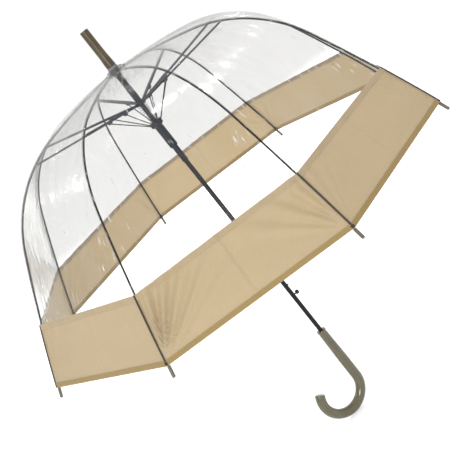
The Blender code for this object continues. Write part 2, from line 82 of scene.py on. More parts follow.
TOP_BEND = (SHOULDER_R - PIVOT_R) / (math.sin(SLOPE_SHOULDER) - math.sin(SLOPE_START))
SHOULDER_Z = NOTCH_Z - TOP_BEND * (math.cos(SLOPE_START) - math.cos(SLOPE_SHOULDER))
FLANK_R = SHOULDER_R + SHOULDER_BEND * (math.sin(SLOPE_FLANK) - math.sin(SLOPE_SHOULDER))
FLANK_Z = SHOULDER_Z - SHOULDER_BEND * (math.cos(SLOPE_SHOULDER) - math.cos(SLOPE_FLANK))
CHORD_SLOPE = math.atan2(FLANK_Z - RIM_Z, RIM_RADIUS - FLANK_R)
RIM_SLOPE = 2 * CHORD_SLOPE - SLOPE_FLANK
FLANK_CHORD = math.hypot(RIM_RADIUS - FLANK_R, FLANK_Z - RIM_Z)
FLANK_BEND = FLANK_CHORD / (2 * math.sin((RIM_SLOPE - SLOPE_FLANK) / 2))

# The canopy
FILM_LIFT = 0.0022           # film above the rib's centre line
FILM_THICK = 0.0003
BORDER_LIFT = 0.0030
BORDER_THICK = 0.0003
BORDER_TRIM = 0.0006         # the border stops this far above the rim
BORDER_TOP_Z = RIM_Z + 0.0984
HEM_WIDTH = 0.009
HEM_LIFT = 0.0036
HEM_THICK, HEM_WRAP = 0.0004, 0.0001
BINDING_WIDTH = 0.0075
BINDING_LIFT = 0.0038
BINDING_THICK, BINDING_WRAP = 0.0005, 0.0015
FILM_UNDER_HEM = 0.007
JOINT_SAG = 0.0203           # the split in the film is this much further down at mid gore than at the rib
FILM_SEAM_TOP = 0.012        # where the weld down a rib starts, from the rib's pivot
FILM_SEAM_HALF, FILM_SEAM_THICK = 0.0023, 0.0003
BORDER_SEAM_HALF, BORDER_SEAM_THICK = 0.0017, 0.0012
CAP_R = 0.0150
CAP_REST, CAP_THICK = 0.00004, 0.00024
NOTCH_EDGE_R, NOTCH_BLEND = 0.0112, 0.014    # the canopy lies on the notch inside this radius

# Rods, pins and wires
ROD_SIDES = 12
FLATTENED_END = (0.0010, 0.0013)    # the rod in the notch, half width and half height
ROD_FOOT = 0.010             # how far the rod runs on past the rim, into its tip
RIVET_REACH = 0.00265        # from the middle of a rivet to its heads
JOINT_RIVET_R, STRUT_RIVET_R = 0.0009, 0.0007
RIVET_DOME = 0.0006
RING_WIRE_R = 0.00045
STRUT_REACH, STRUT_DROP = 0.0575, 0.0038
CROWN_Z, CROWN_PIVOT_R = RIM_Z + 0.2276, 0.011
SPRING_R, SPRING_WIRE_R, SPRING_TURNS = 0.0076, 0.00055, 8
SPRING_STEPS = 24            # points to a turn


def rib_line():
    """Stations down a rib: distance, radius, height and outward normal (radial, up)."""
    rows = []
    for slope in np.concatenate([
        np.linspace(SLOPE_START, SLOPE_SHOULDER, 60)[:-1],
        np.linspace(SLOPE_SHOULDER, SLOPE_FLANK, 160)[:-1],
        np.linspace(SLOPE_FLANK, RIM_SLOPE, 60),
    ]):
        if slope <= SLOPE_SHOULDER:
            start, bend, r, z = SLOPE_START, TOP_BEND, PIVOT_R, NOTCH_Z
        elif slope <= SLOPE_FLANK:
            start, bend, r, z = SLOPE_SHOULDER, SHOULDER_BEND, SHOULDER_R, SHOULDER_Z
        else:
            start, bend, r, z = SLOPE_FLANK, FLANK_BEND, FLANK_R, FLANK_Z
        radius = r + bend * (math.sin(slope) - math.sin(start))
        height = z - bend * (math.cos(start) - math.cos(slope))
        rows.append((radius, height, math.sin(slope), math.cos(slope)))
    rows = np.array(rows)
    along = np.concatenate([[0.0], np.cumsum(np.hypot(np.diff(rows[:, 0]), np.diff(rows[:, 1])))])
    return np.column_stack([along, rows])


LINE = rib_line()
S_RIM = LINE[-1, 0]
S_JOINT = float(np.interp(JOINT_R, LINE[:, 1], LINE[:, 0]))
S_BORDER = float(np.interp(-BORDER_TOP_Z, -LINE[:, 2], LINE[:, 0]))
S_CAP = 0.0060


def at(s):
    """(radius, height, normal radial, normal up) of the rib's centre line at s, straight past the rim."""
    s = np.asarray(s, float)
    inside = np.clip(s, 0.0, S_RIM)
    r, z, nr, nz = (np.interp(inside, LINE[:, 0], LINE[:, k]) for k in (1, 2, 3, 4))
    beyond = s - inside
    return r + beyond * nz, z - beyond * nr, nr, nz


def smooth(t):
    """0 up to t = 0, 1 from t = 1, with a smooth step between."""
    t = min(max(t, 0.0), 1.0)
    return t * t * (3 - 2 * t)


@functools.lru_cache(maxsize=None)
def film_profile(s, lift):
    """(radius, height, normal radial, normal up) of the canopy over a rib, which settles on the notch."""
    r, z, nr, nz = (float(v) for v in at(s))
    r, z = r + lift * nr, z + lift * nz
    on_notch = 1 - smooth((r - NOTCH_EDGE_R) / NOTCH_BLEND)
    return r, z + on_notch * (APEX_Z + lift - FILM_LIFT - z), nr, nz


# ---------------------------------------------------------------- canopy wrinkles

# Pull lines that fan up from a rib's foot, by (rib, side): height in metres, number of folds, spread.
PULLS = {
    (6, 1): (0.0052, 6.0, 1.55),
    (7, -1): (0.0038, 4.0, 1.40),
    (7, 1): (0.0010, 3.0, 0.9),
    (8, -1): (0.0012, 2.5, 0.9),
    (6, -1): (0.0006, 2.0, 0.8),
    (5, 1): (0.0007, 2.5, 0.8),
    (4, -1): (0.0022, 4.0, 1.1),
    (4, 1): (0.0009, 3.0, 0.9),
}
USUAL_PULL = (0.0008, 3.2, 0.9)
CREASED = (2, 6)             # gores with a sharp packing crease down the middle
SHARP_CREASE, FAINT_CREASE, CREASE_HALF = 0.0013, 0.0004, 0.0028


def wavy(x, y, seed):
    """Smooth noise from -1 to 1 over a plane, a different one for each seed."""
    return noise.noise(Vector((x, y, 7.3 * seed)))


def film_wave(s, c, gore, side_gap):
    """Height of the film's soft creases above the flat gore; side_gap is the distance to the nearer rib."""
    still = smooth(side_gap / 0.022)
    waves = 0.0011 * wavy(c * 16, s * 6, gore) + 0.0005 * wavy(c * 55, s * 11, gore + 20)
    near = math.exp(-side_gap / 0.03)
    waves += 0.0009 * near * wavy(c * 40, s * 60, gore + 40)
    return still * waves


def border_wave(s, c, gore, half_width):
    """Height of the border's creases above the flat gore."""
    down = (s - S_BORDER) / (S_RIM - S_BORDER)
    side_gap = half_width - abs(c)
    side = 1 if c < 0 else -1
    rib = gore if side > 0 else gore % RIBS + 1
    height, folds, spread = PULLS.get((rib, side), USUAL_PULL)
    up = S_RIM - s
    angle = math.atan2(max(side_gap, 0.0), max(up, 1e-6))
    reach = math.hypot(side_gap, up)
    fan = smooth(1 - angle / spread) * smooth((reach - 0.008) / 0.045)
    wobble = 0.9 * wavy(angle * 3.0, reach * 9.0, rib + 3.1 * side)
    wave = height * fan * math.sin(2 * math.pi * folds * angle / spread + wobble + 0.6 * rib)
    near = 0.8 + 1.6 * math.exp(-side_gap / 0.05)
    gather = 0.0011 * near * math.exp(-down * 2.6) * wavy(c * 70, s * 9, gore + 9)
    slack = 0.0016 * wavy(c * 12, s * 16, gore + 60) * math.sin(math.pi * min(max(down, 0.0), 1.0))
    crease = SHARP_CREASE if gore in CREASED else FAINT_CREASE
    crease *= math.exp(-((c / CREASE_HALF) ** 2)) * smooth((0.93 - down) / 0.1)
    still = smooth(side_gap / 0.012)
    edge = 0.35 + 0.65 * smooth(down / 0.22)
    return still * (edge * (wave + slack) + gather) + crease


def gore_axes(gore):
    """Middle direction of a gore and the direction across it; gore k lies between ribs k and k + 1."""
    middle = 2 * HALF * (gore - 1) + HALF
    out, across = (math.cos(middle), math.sin(middle), 0), (-math.sin(middle), math.cos(middle), 0)
    return Vector(out), Vector(across)


def gore_point(s, share, lift, gore, wave):
    """Point and normal of a gore; share runs from 0 at rib k to 1 at rib k + 1."""
    out, across = gore_axes(gore)
    r, z, nr, nz = film_profile(s, lift)
    half_width = r * math.sin(HALF)
    c = (2 * share - 1) * half_width
    normal = (out * nr + Vector((0, 0, nz * math.cos(HALF)))).normalized()
    rise = wave(s, c, half_width)
    point = out * (r * math.cos(HALF)) + across * c + Vector((0, 0, z)) + normal * rise
    return point, normal, c, half_width


def gore_normal(s, c, gore, half_width, normal, wave):
    """The gore's normal with its creases."""
    step = 0.0006
    _, across = gore_axes(gore)
    down = normal.cross(across)
    rise_c = (wave(s, c + step, half_width) - wave(s, c - step, half_width)) / (2 * step)
    rise_s = (wave(s + step, c, half_width) - wave(s - step, c, half_width)) / (2 * step)
    if down.z > 0:
        down = -down
    return (normal - across * rise_c - down * rise_s).normalized()


def half_gore(name, gore, side, rows, columns, lift, thick, wave, wrap=0.0):
    """A thin two-sided sheet over half a gore; side 1 is next to rib k and -1 next to rib k + 1.
    rows(u) gives the s stations for a column at u, 0 at the rib and 1 at mid gore."""
    count = len(rows(0.0))
    outer, inner, normals, uvs = [], [], [], []
    for u in columns:
        share = 0.5 * u if side > 0 else 1 - 0.5 * u
        for s in rows(u):
            point, flat, c, half_width = gore_point(s, share, lift, gore, wave)
            normals.append(gore_normal(s, c, gore, half_width, flat, wave))
            outer.append(point + flat * thick)
            inner.append(point - flat * wrap)
            uvs.append((c, s))
    total = len(outer)
    last = len(columns) - 1
    faces = []
    for k in range(last):
        for j in range(count - 1):
            a = k * count + j
            faces.append((a, a + 1, a + count + 1, a + count))
            faces.append((total + a + count, total + a + count + 1, total + a + 1, total + a))
        for a in (k * count, k * count + count - 1):
            faces.append((a, a + count, total + a + count, total + a))
    for j in range(count - 1):
        for a in (j, last * count + j):
            faces.append((a, a + 1, total + a + 1, total + a))
    mesh = bpy.data.meshes.new(name)
    mesh.from_pydata([tuple(p) for p in outer + inner], [], faces)
    shape = bmesh.new()
    shape.from_mesh(mesh)
    bmesh.ops.recalc_face_normals(shape, faces=shape.faces)
    shape.to_mesh(mesh)
    shape.free()
    layer = mesh.uv_layers.new(name="cloth")
    for loop in mesh.loops:
        layer.data[loop.index].uv = uvs[loop.vertex_index % total]
    mesh.shade_smooth()
    every = [tuple(n) for n in normals] + [tuple(-n) for n in normals]
    mesh.normals_split_custom_set_from_vertices(every)
    item = bpy.data.objects.new(name, mesh)
    bpy.context.scene.collection.objects.link(item)
    return item


# ---------------------------------------------------------------- plain shapes

def link(name, verts, faces, material, smooth_angle=35):
    mesh = bpy.data.meshes.new(name)
    mesh.from_pydata([tuple(v) for v in verts], [], faces)
    mesh.shade_smooth()
    mesh.set_sharp_from_angle(angle=math.radians(smooth_angle))
    mesh.materials.append(material)
    item = bpy.data.objects.new(name, mesh)
    bpy.context.scene.collection.objects.link(item)
    return item


def sweep(name, path, sizes, sides, material, up=Vector((0, 0, 1)), closed=False):
    """A tube along a path of points, with (half width, half height) at each, and capped ends."""
    path = [Vector(p) for p in path]
    count = len(path)
    verts, faces = [], []
    for k, point in enumerate(path):
        if closed:
            before, after = path[k - 1], path[(k + 1) % count]
        else:
            before, after = path[max(k - 1, 0)], path[min(k + 1, count - 1)]
        along = (after - before).normalized()
        wide = along.cross(up).normalized()
        high = wide.cross(along).normalized()
        half_w, half_h = sizes[k] if isinstance(sizes, list) else sizes
        for i in range(sides):
            angle = 2 * math.pi * i / sides
            verts.append(point + wide * (half_w * math.cos(angle)) + high * (half_h * math.sin(angle)))
    for k in range(count if closed else count - 1):
        here, there = k * sides, (k + 1) % count * sides
        for i in range(sides):
            j = (i + 1) % sides
            faces.append((here + j, here + i, there + i, there + j))
    if not closed:
        faces.append(tuple(range(sides)))
        faces.append(tuple(reversed(range((count - 1) * sides, count * sides))))
    return link(name, verts, faces, material)


def lathe(name, outline, sides, material, place=Matrix.Identity(4)):
    """A closed outline of (radius, height) turned about Z and put in place."""
    count = len(outline)
    verts, faces = [], []
    for step in range(sides):
        angle = 2 * math.pi * step / sides
        for r, z in outline:
            verts.append(place @ Vector((r * math.cos(angle), r * math.sin(angle), z)))
    for step in range(sides):
        here, there = step * count, (step + 1) % sides * count
        for i in range(count):
            j = (i + 1) % count
            faces.append((here + i, there + i, there + j, here + j))
    return link(name, verts, faces, material)


def rib_turn(number):
    return Matrix.Rotation(2 * HALF * (number - 1), 4, "Z")


# ---------------------------------------------------------------- materials

class Nodes:
    """A material's node tree, with short ways to add to it."""

    def __init__(self, name):
        self.material = bpy.data.materials.new(name)
        self.material.use_nodes = True
        self.tree = self.material.node_tree
        self.shader = self.tree.nodes["Principled BSDF"]
        self.output = self.tree.nodes["Material Output"]

    def add(self, kind, links=(), **values):
        node = self.tree.nodes.new(kind)
        for key, value in values.items():
            if hasattr(node, key):
                setattr(node, key, value)
            else:
                node.inputs[key.replace("_", " ")].default_value = value
        for name, source in links:
            self.tree.links.new(source, node.inputs[name])
        return node

    def join(self, source, target):
        self.tree.links.new(source, target)

    def coordinates(self, uv, scale):
        if uv:
            source = self.add("ShaderNodeUVMap", uv_map="cloth").outputs["UV"]
        else:
            source = self.add("ShaderNodeTexCoord").outputs["Object"]
        return self.add("ShaderNodeMapping", [("Vector", source)], Scale=scale).outputs["Vector"]

    def grain(self, scale, detail=4.0, uv=False, roughness=0.55):
        where = self.coordinates(uv, scale)
        noise_node = self.add("ShaderNodeTexNoise", [("Vector", where)], Scale=1.0, Detail=detail,
                              Roughness=roughness)
        return noise_node.outputs["Fac"]

    def spread(self, value, low, high, start=0.3, end=0.7):
        made = self.add("ShaderNodeMapRange", [("Value", value)])
        made.inputs["From Min"].default_value = start
        made.inputs["From Max"].default_value = end
        made.inputs["To Min"].default_value = low
        made.inputs["To Max"].default_value = high
        return made.outputs["Result"]

    def tint(self, value, dark, light):
        mix = self.add("ShaderNodeMix", data_type="RGBA")
        self.join(value, mix.inputs["Factor"])
        mix.inputs[6].default_value = (*dark, 1.0)
        mix.inputs[7].default_value = (*light, 1.0)
        return mix.outputs[2]

    def maths(self, operation, first, second):
        """A math node of two values, each a socket or a number."""
        made = self.add("ShaderNodeMath", operation=operation)
        for socket, value in zip(made.inputs, (first, second)):
            if isinstance(value, (int, float)):
                socket.default_value = value
            else:
                self.join(value, socket)
        return made.outputs[0]

    def bump(self, height, strength, distance, under=None):
        links = [("Height", height)]
        if under is not None:
            links.append(("Normal", under))
        return self.add("ShaderNodeBump", links, Strength=strength, Distance=distance).outputs["Normal"]


def shaded(colour, amount):
    return tuple(max(0.0, min(1.0, c * amount)) for c in colour)


def solid(name, colour, roughness, metallic=0.0, specular=0.5, coat=0.0, scale=(900, 900, 900),
          relief=0.15, depth=0.0002, variation=0.18):
    """Painted, moulded or bare material with a fine grain, uneven gloss and slight colour change."""
    made = Nodes(name)
    broad = made.grain((45, 45, 45), detail=3.0)
    fine = made.grain(scale, detail=5.0)
    darker, lighter = shaded(colour, 1 - variation), shaded(colour, 1 + variation)
    made.join(made.tint(made.spread(broad, 0, 1), darker, lighter), made.shader.inputs["Base Color"])
    made.join(made.spread(fine, roughness * 0.8, roughness * 1.2), made.shader.inputs["Roughness"])
    made.join(made.bump(fine, relief, depth), made.shader.inputs["Normal"])
    made.shader.inputs["Metallic"].default_value = metallic
    made.shader.inputs["Specular IOR Level"].default_value = specular
    made.shader.inputs["Coat Weight"].default_value = coat
    made.shader.inputs["Coat Roughness"].default_value = 0.12
    return made.material


def clear_film(name, tint, haze, edge):
    """Thin clear film: mostly see-through, glossy, with fine crinkles, painted highlights in patches
    (flecks where a noise mask turns it to opaque white gloss), and darker where seen edge on."""
    made = Nodes(name)
    shader = made.shader
    soft = made.grain((26, 9, 26), detail=2.0, uv=True)
    crinkle = made.grain((150, 17, 150), detail=3.0, uv=True, roughness=0.5)
    ridges = made.spread(crinkle, 0.0, 1.0, start=0.52, end=0.68)
    broad = made.bump(soft, 0.8, 0.0007)
    normal = made.bump(ridges, 1.0, 0.0012, under=broad)
    made.join(normal, shader.inputs["Normal"])
    shader.inputs["Metallic"].default_value = 0.9
    gloss = made.tint(made.spread(soft, 0, 1), (0.82, 0.82, 0.81), (0.93, 0.93, 0.92))
    made.join(gloss, shader.inputs["Base Color"])
    made.join(made.spread(crinkle, 0.06, 0.13), shader.inputs["Roughness"])
    facing = made.add("ShaderNodeLayerWeight", Blend=0.5).outputs["Facing"]
    through = made.add("ShaderNodeBsdfTransparent")
    made.join(made.tint(made.maths("POWER", facing, 4.0), tint, edge), through.inputs["Color"])
    glossy = made.maths("MULTIPLY", made.maths("POWER", facing, 5.0), 0.8)
    clear = made.maths("ADD", made.spread(soft, haze * 0.5, haze * 1.5), glossy)
    # Painted highlights: sparse white streaks, gathered in patches, stand for glints off crinkles; the film
    # turns opaque and glossy wherever this mask is up.
    streaks = made.grain((260, 30, 260), detail=2.0, uv=True, roughness=0.5)
    patches = made.grain((13, 8, 13), detail=1.0, uv=True)
    painted_glints = made.maths("MULTIPLY", made.spread(patches, 0.0, 1.0, start=0.52, end=0.60),
                       made.spread(streaks, 0.0, 0.75, start=0.64, end=0.70))
    amount = made.maths("ADD", clear, painted_glints)
    mix = made.add("ShaderNodeMixShader")
    made.join(amount, mix.inputs[0])
    made.join(through.outputs[0], mix.inputs[1])
    made.join(shader.outputs[0], mix.inputs[2])
    made.join(mix.outputs[0], made.output.inputs["Surface"])
    return made.material


def fabric(name, colour, sheer):
    """Close-woven fabric, a little see-through, that also glows with the light behind it."""
    made = Nodes(name)
    shader = made.shader
    broad = made.grain((9, 22, 9), detail=3.0, uv=True)
    slub = made.grain((700, 120, 700), detail=2.0, uv=True)
    made.join(made.tint(made.spread(broad, 0, 1), shaded(colour, 0.96), shaded(colour, 1.04)),
              shader.inputs["Base Color"])
    where = made.coordinates(True, (1, 1, 1))
    yarns = [made.add("ShaderNodeTexWave", [("Vector", where)], bands_direction=way, Scale=400.0,
                      Distortion=0.6).outputs["Fac"] for way in ("X", "Y")]
    threads = made.bump(made.maths("MULTIPLY", *yarns), 0.25, 0.0002)
    made.join(made.bump(slub, 0.25, 0.0003, under=threads), shader.inputs["Normal"])
    made.join(made.spread(slub, 0.5, 0.72), shader.inputs["Roughness"])
    shader.inputs["Specular IOR Level"].default_value = 0.3
    shader.inputs["Sheen Weight"].default_value = 0.12
    through = made.add("ShaderNodeBsdfTransparent")
    glow = made.add("ShaderNodeBsdfTranslucent")
    lit = made.tint(made.spread(slub, 0, 1), shaded(colour, 1.10), shaded(colour, 1.30))
    made.join(lit, glow.inputs["Color"])
    both = made.add("ShaderNodeAddShader")
    made.join(shader.outputs[0], both.inputs[0])
    made.join(glow.outputs[0], both.inputs[1])
    mix = made.add("ShaderNodeMixShader")
    made.join(made.spread(broad, 1 - sheer * 1.2, 1 - sheer * 0.8), mix.inputs[0])
    made.join(through.outputs[0], mix.inputs[1])
    made.join(both.outputs[0], mix.inputs[2])
    made.join(mix.outputs[0], made.output.inputs["Surface"])
    return made.material


KHAKI = (0.232, 0.191, 0.125)
FILM = clear_film("clear_film", (0.956, 0.955, 0.951), 0.028, (0.72, 0.72, 0.72))
SEAM_FILM = clear_film("welded_film", (0.88, 0.88, 0.875), 0.006, (0.50, 0.50, 0.50))
BORDER = fabric("border_fabric", KHAKI, 0.05)
# Painted light: the hem's khaki is made 16% lighter than the border's to make up for the shade its doubled
# layers get.
HEM = fabric("hem_fabric", shaded(KHAKI, 1.16), 0.02)
BINDING = fabric("binding_fabric", (0.210, 0.152, 0.058), 0.01)
# Partly painted shade: the strip down each rib on the border is the stitched seam, and its dark brown also
# stands for the rib's shade showing through the band.
BORDER_SEAM_AND_RIB_SHADE = fabric("border_seam_and_rib_shade_fabric", (0.040, 0.032, 0.022), 0.02)
THREAD = solid("dark_thread", (0.045, 0.036, 0.026), 0.7, specular=0.2)
BLACK_STEEL = solid("black_enamel", (0.007, 0.008, 0.011), 0.34, specular=0.2, scale=(700, 700, 60))
BLUE_BLACK = solid("blue_black_steel", (0.009, 0.014, 0.025), 0.38, specular=0.16, scale=(700, 700, 700))
SPRING_STEEL = solid("spring_steel", (0.055, 0.060, 0.070), 0.34, metallic=0.7, scale=(900, 900, 900))
RIB_ROD = solid("rib_fibreglass", (0.008, 0.008, 0.009), 0.42, specular=0.1, scale=(1200, 1200, 300))
BUTTON = solid("button_plastic", (0.010, 0.010, 0.012), 0.28, specular=0.4)
SMOKE = solid("smoke_plastic", (0.16, 0.165, 0.165), 0.35, specular=0.4)
TAUPE = solid("taupe_plastic", (0.086, 0.075, 0.039), 0.18, specular=0.40, coat=0.6, scale=(260, 260, 260),
              relief=0.05, depth=0.0003, variation=0.10)
TIP = solid("tip_plastic", (0.10, 0.090, 0.064), 0.35, specular=0.35, variation=0.15)
KHAKI_PLASTIC = solid("ferrule_plastic", (0.070, 0.050, 0.025), 0.32, specular=0.35, scale=(300, 300, 300))
RIVET = solid("rivet_steel", (0.30, 0.30, 0.31), 0.3, metallic=0.9)


# ---------------------------------------------------------------- canopy

def seated(piece, body, material=None):
    """Gives a new piece its finish and the body it rides on."""
    if material is not None and not piece.data.materials:
        piece.data.materials.append(material)
    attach(piece, body)
    return piece


def folded_with(piece):
    """Gives the half gore a mesh of its own."""
    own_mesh(piece)


def closer_at_ends(count):
    """Columns from the rib to mid gore, closer together at both ends."""
    return [float(0.5 - 0.5 * math.cos(math.pi * x)) for x in np.linspace(0, 1, count)]


def split(u):
    """Where the film is split between the rib's two bodies, in the column at u."""
    return S_JOINT + JOINT_SAG * u


film_columns = closer_at_ends(27)
border_columns = [float(1 - (1 - t) ** 1.35) for t in np.linspace(0, 1, 52)]
TOP_ROWS, SIDE_ROWS, BORDER_ROWS = ((44, 48, 34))
EDGE_ROWS = 7                # rows across a hem or a binding
S_FILM_FOOT = S_BORDER + FILM_UNDER_HEM

for gore in range(1, RIBS + 1):
    def film(s, c, half_width, gore=gore):
        return film_wave(s, c, gore, half_width - abs(c))

    def cloth(s, c, half_width, gore=gore):
        return border_wave(s, c, gore, half_width)

    def film_low(s, c, half_width, gore=gore):
        """The film's creases, which give way to the border's near the hem."""
        share = smooth((s - S_BORDER + 0.03) / 0.03)
        flat = film_wave(s, c, gore, half_width - abs(c))
        return flat * (1 - share) + border_wave(max(s, S_BORDER), c, gore, half_width) * share

    for side in (1, -1):
        rib = gore if side > 0 else gore % RIBS + 1
        tag = f"{rib}_{'left' if side > 0 else 'right'}"

        def top_rows(u):
            return np.linspace(S_CAP, split(u), TOP_ROWS).tolist()

        top = half_gore(f"film_top_{tag}", gore, side, top_rows, film_columns,
                        FILM_LIFT, FILM_THICK, film)
        seated(top, f"rib_{rib}", FILM)
        folded_with(top)

        def side_rows(u):
            return np.linspace(split(u), S_FILM_FOOT, SIDE_ROWS).tolist()

        flank = half_gore(f"film_side_{tag}", gore, side, side_rows, film_columns,
                          FILM_LIFT, FILM_THICK, film_low)
        seated(flank, f"rib_end_{rib}", FILM)
        folded_with(flank)

        def band_rows(u):
            return np.linspace(S_BORDER, S_RIM - BORDER_TRIM, BORDER_ROWS).tolist()

        band = half_gore(f"border_{tag}", gore, side, band_rows, border_columns,
                         BORDER_LIFT, BORDER_THICK, cloth)
        seated(band, f"rib_end_{rib}", BORDER)
        folded_with(band)
        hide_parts(f"canopy_panel_{rib}")

        def hem_rows(u):
            edge = [S_BORDER - 0.0003, S_BORDER + 0.0003]
            return edge + np.linspace(S_BORDER + 0.001, S_BORDER + HEM_WIDTH, EDGE_ROWS).tolist()

        hem = half_gore(f"hem_{tag}", gore, side, hem_rows, border_columns,
                        HEM_LIFT, HEM_THICK, cloth, wrap=HEM_WRAP)
        seated(hem, f"rib_end_{rib}", HEM)
        folded_with(hem)

        def binding_rows(u):
            return np.linspace(S_RIM - BINDING_WIDTH, S_RIM + BORDER_TRIM, EDGE_ROWS).tolist()

        outer = half_gore(f"binding_{tag}", gore, side, binding_rows, border_columns,
                          BINDING_LIFT, BINDING_THICK, cloth, wrap=BINDING_WRAP)
        seated(outer, f"rib_end_{rib}", BINDING)
        folded_with(outer)


def seam(name, number, stations, half, lift, thick, body, material):
    """A welded or sewn strip down a rib, bent over the crease between two gores."""
    azimuth = 2 * HALF * (number - 1)
    radial = Vector((math.cos(azimuth), math.sin(azimuth), 0))
    sides = []
    for turn in (HALF, -HALF):
        middle = azimuth + turn
        sides.append(Vector((-math.sin(middle), math.cos(middle), 0)) * (1 if turn > 0 else -1))
    verts, uvs = [], []
    across = [(1, 1.0), (1, 0.55), (0, 0.0), (-1, 0.55), (-1, 1.0)]
    for s in stations:
        r, z, nr, nz = film_profile(float(s), lift)
        normal = radial * nr + Vector((0, 0, nz))
        ridge = radial * r + Vector((0, 0, z))
        for raised in (thick, 0.0):
            for way, share in across:
                step = sides[0] if way > 0 else sides[1]
                height = raised - 0.55 * thick * share if raised else 0.0
                verts.append(ridge + step * (half * share) + normal * height)
                uvs.append((way * share * half, s))
    faces = []
    for k in range(len(stations) - 1):
        a, b = k * 10, (k + 1) * 10
        for i in range(4):
            faces.append((a + i, a + i + 1, b + i + 1, b + i))
            faces.append((a + 5 + i + 1, a + 5 + i, b + 5 + i, b + 5 + i + 1))
        faces.append((a + 5, a, b, b + 5))
        faces.append((a + 4, a + 9, b + 9, b + 4))
    item = link(name, verts, faces, material, smooth_angle=80)
    layer = item.data.uv_layers.new(name="cloth")
    for loop in item.data.loops:
        layer.data[loop.index].uv = uvs[loop.vertex_index]
    return seated(item, body)


weld = (FILM_SEAM_HALF, FILM_LIFT + FILM_THICK, FILM_SEAM_THICK)
stitched = (BORDER_SEAM_HALF, HEM_LIFT + 0.0002, BORDER_SEAM_THICK)
for number in range(1, RIBS + 1):
    seam(f"film_seam_top_{number}", number, np.linspace(FILM_SEAM_TOP, S_JOINT, 40), *weld,
         f"rib_{number}", SEAM_FILM)
    seam(f"film_seam_side_{number}", number, np.linspace(S_JOINT, S_BORDER, 50), *weld,
         f"rib_end_{number}", SEAM_FILM)
    seam(f"border_seam_{number}", number, np.linspace(S_BORDER, S_RIM - 0.0005, 24), *stitched,
         f"rib_end_{number}", BORDER_SEAM_AND_RIB_SHADE)


def knot(number):
    """Thread wound round the rib and the hem's corner."""
    r, z, nr, nz = film_profile(S_RIM - 0.003, 0.0012)
    outline = []
    for k in range(4):
        low = -0.0022 + 0.0011 * k
        outline += [(0.0032, low), (0.0036, low + 0.0003), (0.0036, low + 0.0008)]
    outline += [(0.0032, 0.0022), (0.0028, 0.0022), (0.0028, -0.0022)]
    down = Matrix.Rotation(math.pi / 2 + RIM_SLOPE, 4, "Y")
    place = rib_turn(number) @ Matrix.Translation((r, 0, z)) @ down
    winding = lathe(f"corner_knot_{number}", outline, 16, THREAD, place)
    seated(winding, f"rib_end_{number}")


for number in range(1, RIBS + 1):
    knot(number)


def cap_outline():
    """(radius, height) round the film patch under the ferrule."""
    upper, lower = [], []
    for r in np.linspace(APEX_R, CAP_R, 12):
        s = float(np.interp(r, LINE[:, 1], LINE[:, 0])) if r > PIVOT_R else 0.0
        z = film_profile(s, FILM_LIFT)[1] if r > PIVOT_R else APEX_Z
        upper.append((r, z + FILM_THICK + CAP_REST + CAP_THICK))
        lower.append((r, z + FILM_THICK + CAP_REST))
    return upper + lower[::-1]


cap = lathe("canopy_cap", cap_outline(), 48, SEAM_FILM)
seated(cap, "frame")


# ---------------------------------------------------------------- ribs, rivets, spring

def rib_path(first, last, count, number):
    """Points down a rib's centre line from s = first to s = last."""
    turn = rib_turn(number)
    points = []
    for s in np.linspace(first, last, count):
        r, z, _, _ = (float(v) for v in at(s))
        points.append(turn @ Vector((r, 0, z)))
    return points


for number in range(1, RIBS + 1):
    side_on = rib_turn(number) @ Vector((0, 1, 0))
    upper_path = rib_path(-0.0008, S_JOINT - 0.001, 44, number)
    upper_sizes = [FLATTENED_END if k < 2 else (RIB_R, RIB_R) for k in range(44)]
    upper = sweep(f"rib_rod_top_{number}", upper_path, upper_sizes, ROD_SIDES, RIB_ROD, up=side_on)
    seated(upper, f"rib_{number}")
    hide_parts(f"rib_upper_{number}")
    lower_path = rib_path(S_JOINT + 0.001, S_RIM + ROD_FOOT, 64, number)
    lower = sweep(f"rib_rod_side_{number}", lower_path, (RIB_R, RIB_R), ROD_SIDES, RIB_ROD, up=side_on)
    seated(lower, f"rib_end_{number}")
    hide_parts(f"rib_lower_{number}")


def rivet(name, centre, number, reach, radius, body):
    """A pin with two domed heads lying across rib number's plane."""
    head = radius * 1.7
    crown, rise = reach + RIVET_DOME, reach + RIVET_DOME - 0.0001
    outline = [
        (0.0, -crown), (head * 0.6, -rise), (head, -reach), (radius, -reach),
        (radius, reach), (head, reach), (head * 0.6, rise), (0.0, crown),
    ]
    lying = Matrix.Translation((centre[0], 0, centre[1])) @ Matrix.Rotation(math.pi / 2, 4, "X")
    seated(lathe(name, outline, 14, RIVET, rib_turn(number) @ lying), body)


JOINT_Z = float(at(S_JOINT)[1])
LINK_SLOPE = math.atan2(NOTCH_Z - JOINT_Z, JOINT_R - PIVOT_R)
RING_Z = 2 * JOINT_Z - NOTCH_Z
PIN_R = PIVOT_R + STRUT_REACH * math.cos(LINK_SLOPE) + STRUT_DROP * math.sin(LINK_SLOPE)
PIN_Z = RING_Z + STRUT_REACH * math.sin(LINK_SLOPE) - STRUT_DROP * math.cos(LINK_SLOPE)
for number in range(1, RIBS + 1):
    rivet(f"joint_rivet_{number}", (JOINT_R, JOINT_Z), number, RIVET_REACH, JOINT_RIVET_R, f"rib_{number}")
    rivet(f"strut_rivet_{number}", (PIN_R, PIN_Z), number, RIVET_REACH, STRUT_RIVET_R,
          f"stretcher_{number}")


def ring_wire(name, radius, height, body):
    """A closed loop of wire that threads the pivots of one hub."""
    turns = np.linspace(0, 2 * math.pi, 49)[:-1]
    points = [(radius * math.cos(a), radius * math.sin(a), height) for a in turns]
    wire = sweep(name, points, (RING_WIRE_R, RING_WIRE_R), 8, SPRING_STEEL, closed=True)
    seated(wire, body)


ring_wire("notch_wire", PIVOT_R + 0.0018, NOTCH_Z - 0.0012, "frame")
ring_wire("ring_wire", PIVOT_R, RING_Z, "ring")
ring_wire("crown_wire", CROWN_PIVOT_R, CROWN_Z, "runner")

